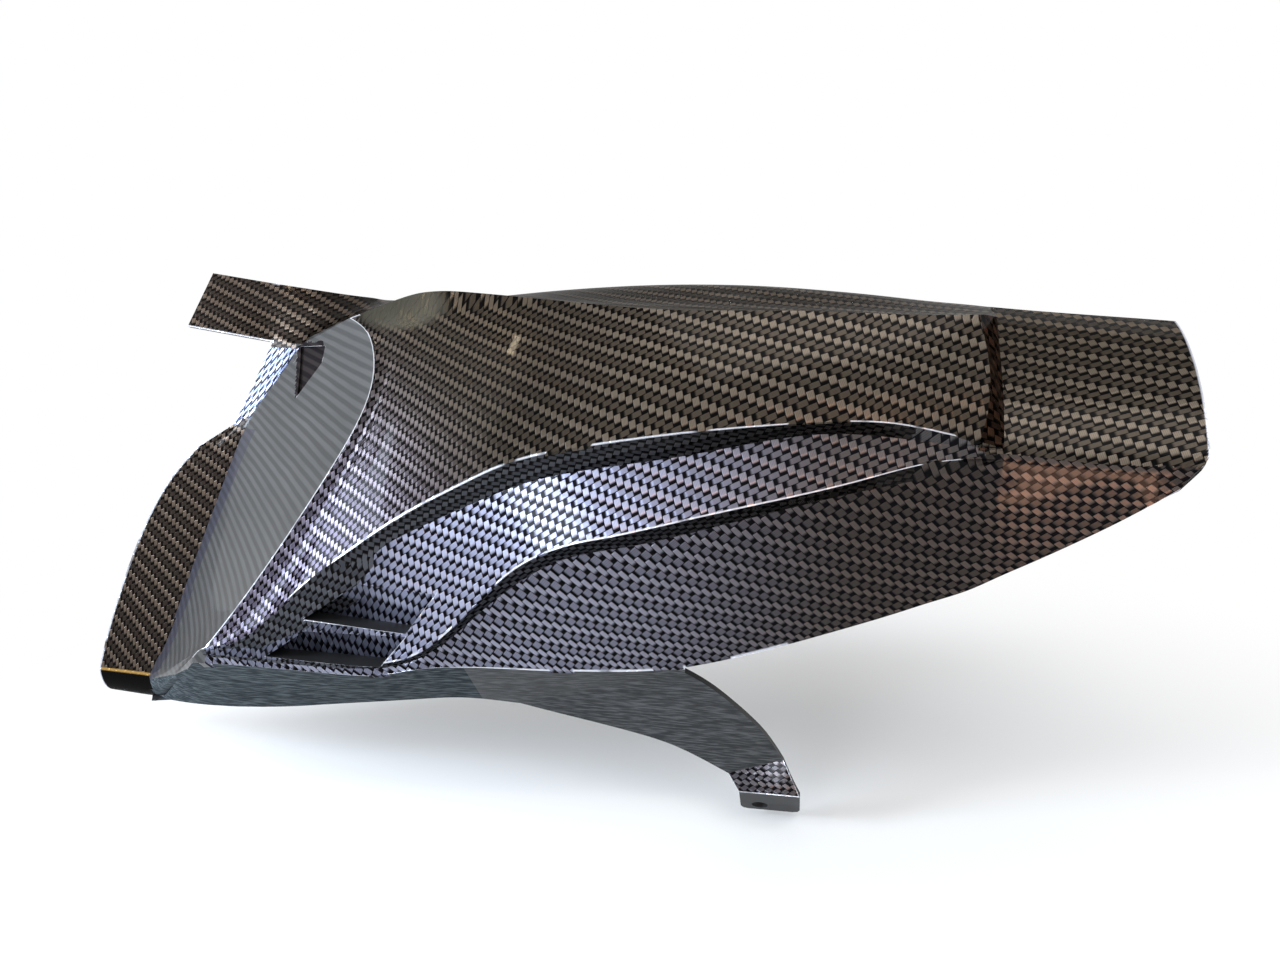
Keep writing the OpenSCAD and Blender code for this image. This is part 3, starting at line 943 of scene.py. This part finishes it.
@dataclass(frozen=True)
class Viewpoint:
    """Camera at the photograph's viewing angle."""

    place: Place = (0.02656, -0.49114, 0.28708)
    azimuth: float = math.radians(-10)
    elevation: float = math.radians(14)
    focal_pixels: float = 1100.0
    image_width: float = 1280.0
    sensor: float = 36.0
    clip: Point = (0.01, 50)

    def build(self) -> bpy.types.Object:
        """Makes the camera and hands it to the scene.

        Returns:
            The camera's object.
        """
        camera = placed("camera", bpy.data.cameras.new("camera"))
        camera.data.sensor_width = self.sensor
        camera.data.lens = self.focal_pixels / self.image_width * self.sensor
        camera.data.clip_start, camera.data.clip_end = self.clip
        level = math.cos(self.elevation)
        forward = Vector((math.sin(self.azimuth) * level, math.cos(self.azimuth) * level,
                          -math.sin(self.elevation)))
        camera.location = self.place
        camera.rotation_euler = forward.to_track_quat("-Z", "Y").to_euler()
        bpy.context.scene.camera = camera
        return camera


@dataclass(frozen=True)
class Softbox:
    """One rectangular lamp that faces a point of the object. Its tint runs from 0 to 1."""

    name: str
    place: Place
    size: Point
    watts: float
    tint: Rgb = (1.0, 1.0, 1.0)
    target: Place = (-0.05, 0.02, 0.15)
    lights_matt: bool = True

    def build(self) -> bpy.types.Object:
        """Makes the lamp.

        Returns:
            The lamp's object.
        """
        data = bpy.data.lights.new(self.name, "AREA")
        data.shape = "RECTANGLE"
        data.size, data.size_y = self.size
        data.energy = self.watts
        data.color = self.tint
        lamp = placed(self.name, data)
        lamp.visible_camera = False
        lamp.visible_diffuse = self.lights_matt
        lamp.location = self.place
        lamp.rotation_euler = (Vector(self.target) - Vector(self.place)).to_track_quat("-Z", "Y").to_euler()
        return lamp


def lamps() -> list[Softbox]:
    """Lists the soft lamps, and the windows and warm lights that the lacquer mirrors.

    Returns:
        The lamps.
    """
    return [
        Softbox("key", (0.5, -0.9, 1.5), (1.2, 0.9), 8),
        Softbox("fill", (-1.2, -0.8, 0.9), (0.9, 0.9), 3),
        Softbox("back", (0.2, 1.3, 1.2), (1.6, 0.6), 4),
        Softbox("front_window", (-0.962, -0.462, 0.360), (0.3, 0.5), 13.0,
                tint=(0.74, 0.86, 1.0), target=(-0.2, -0.04, 0.14)),
        Softbox("side_window", (-0.282, -0.911, 0.2485), (0.35, 0.12), 3.0,
                tint=(0.80, 0.89, 1.0), target=(-0.1, -0.04, 0.155)),
        Softbox("warm_strip", (0.33, -0.87, 0.150), (0.6, 0.06), 1.8,
                tint=(1.0, 0.55, 0.35), target=(0.128, 0.008, 0.17), lights_matt=False),
        Softbox("small_warm", (-0.56, -0.473, 0.862), (0.03, 0.07), 0.45,
                tint=(1.0, 0.85, 0.6), target=(-0.11, -0.023, 0.2255)),
    ]


@dataclass
class Studio:
    """Pale floor, white surroundings and soft lamps."""

    floor_size: float = 8.0
    floor_drop: float = 0.004
    floor_grey: float = 0.9
    floor_roughness: float = 0.8
    ambient: float = 0.75
    # Distances from the middle, in metres, between which the floor fades into the surroundings
    fade: Point = (0.22, 0.5)
    lamps: list[Softbox] = field(default_factory=lamps)

    def build(self, lowest: float) -> bpy.types.Object:
        """Makes the surroundings.

        Args:
            lowest: Height of the object's lowest point.

        Returns:
            The floor's object.
        """
        world = bpy.data.worlds.new("studio")
        n = Nodes(world)
        strength = n.choose(n.seen(), self.ambient, 1.0)
        light = n.add("Background", {0: (1, 1, 1, 1), 1: strength})
        n.add("OutputWorld", {0: light.outputs[0]})
        bpy.context.scene.world = world
        for lamp in self.lamps:
            lamp.build()
        return self._floor(lowest)

    def _floor(self, lowest: float) -> bpy.types.Object:
        """Makes the pale floor just below the object.

        Args:
            lowest: Height of the object's lowest point.

        Returns:
            The floor's object.
        """
        bm = bmesh.new()
        bmesh.ops.create_grid(bm, x_segments=1, y_segments=1, size=self.floor_size / 2)
        bmesh.ops.translate(bm, verts=bm.verts, vec=(0, 0, lowest - self.floor_drop))
        mesh = bpy.data.meshes.new("floor")
        bm.to_mesh(mesh)
        bm.free()
        mesh.materials.append(self._paper())
        return placed("floor", mesh)

    def _paper(self) -> bpy.types.Material:
        """Makes the floor's pale finish, which fades into the white surroundings away from the object.

        Returns:
            The material.
        """
        n = Nodes(bpy.data.materials.new("floor"))
        away = n.vector("LENGTH", n.place()).outputs["Value"]
        share = n.math("MULTIPLY", n.ramp(away, *self.fade), n.seen())
        grey = self.floor_grey
        paper = n.add("BsdfPrincipled", {
            "Base Color": (grey, grey, grey, 1), "Roughness": self.floor_roughness,
            "Specular IOR Level": 0.0})
        white = n.add("Emission", {0: (1, 1, 1, 1), 1: 1.0})
        blend = n.add("MixShader", {0: share, 1: paper.outputs[0], 2: white.outputs[0]})
        n.add("OutputMaterial", {0: blend.outputs[0]})
        return n.owner


def finishes() -> dict[Zone, bpy.types.Material]:
    """Builds the material of each zone.

    Returns:
        Zone to material.
    """
    drawn = (110, 600, 1400)
    looks = {
        # The printed zones are copies of one print whose tints paint the light: brighter bluish painted
        # reflections on the upper front, the stripe, the lower side and the neck, and a darker brown one on
        # the plate
        Zone.UPPER_PRINT: WovenPrint(
            "print_upper", warp=(150, 142, 160), weft=(90, 84, 98), far_warp=(108, 98, 87),
            far_weft=(68, 61, 53), turn_weights=(1.0, 1.0), turn=(-0.08, 0.08), bare=True, roughness=0.29,
            dim_share=0.5, dim=(-0.05, -0.12)),
        Zone.STRIPE_PRINT: WovenPrint(
            "print_stripe", warp=(152, 155, 176), weft=(128, 131, 152), far_warp=(96, 92, 92),
            far_weft=(76, 73, 73), gap=(8, 8, 12), turn=(-0.07, 0.04), dim_share=0.75),
        Zone.LOWER_PRINT: WovenPrint(
            "print_lower", warp=(136, 137, 152), weft=(104, 105, 120), far_warp=(80, 72, 68),
            far_weft=(56, 51, 48), gap=(6, 6, 8), turn=(-0.12, 0.05), roughness=0.23),
        # Painted shade under the creases: a darker copy of the print on the steps
        Zone.STEP_PRINT: WovenPrint(
            "print_step_shaded", warp=(76, 77, 82), weft=(58, 59, 64), far_warp=(46, 42, 39),
            far_weft=(35, 32, 30), turn=(-0.12, 0.04)),
        # The plate's rolled lower end gets a painted highlight over painted shade
        Zone.PLATE_PRINT: WovenPrint(
            "print_plate", warp=(92, 80, 70), weft=(44, 37, 32), far_warp=(88, 76, 66), roll_at=0.0385),
        Zone.NECK_PRINT: WovenPrint(
            "print_neck", warp=(150, 156, 178), weft=(108, 114, 140), gap=(16, 18, 30)),
        # A brown copy of the print on the pod's rear end, a painted warm reflection, with a warm painted
        # highlight colour
        Zone.END_PRINT: WovenPrint(
            "print_end", warp=(84, 60, 46), weft=(52, 38, 30), glint=(176, 120, 90)),
        Zone.ROOT: FannedSheet("dark_root", (36, 36, 42), (58, 58, 68)),
        Zone.FLANK: FannedSheet("grey_flank", (42, 42, 42), (76, 76, 76), coat=0.2),
        # Painted shade in the hollow under the flank's lip: near black, without gloss
        Zone.HOLLOW: FannedSheet("shaded_hollow", (24, 22, 23), (50, 45, 45), specular=0.0, coat=0.0),
        Zone.SKIRT: GreySheet(
            "grey_skirt", (40, 45, 48), (84, 90, 93), drawn, contrast=0.8, specular=0.0, coat=0.03),
        Zone.LEG: GreySheet(
            "grey_leg", (44, 45, 46), (80, 81, 82), drawn, contrast=0.8, specular=0.05, coat=0.06),
        Zone.FOOT: GreySheet("grey_foot", (48, 48, 48), (66, 66, 66), specular=0.05, coat=0.05),
        Zone.INSIDE: GreySheet("dark_inside", (30, 30, 31), (40, 40, 41), roughness=0.5, coat=0.05),
    }
    return {zone: look.build() for zone, look in looks.items()}


def main() -> None:
    """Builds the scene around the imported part."""
    logging.basicConfig(level=logging.INFO, format="%(name)s: %(message)s")
    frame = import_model()
    cad_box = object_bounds()
    sheet = PrintedSheet()
    piece = sheet.build(frame["nodes"][sheet.node], finishes())
    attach(piece, "root")
    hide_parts(sheet.node)
    LOG.info("piece %s stands for %s", piece.name, sheet.node)
    floor = Studio().build(cad_box[0].z)
    Viewpoint().build()
    scene = bpy.context.scene
    scene.view_settings.view_transform = "Standard"


if __name__ == "__main__":
    main()
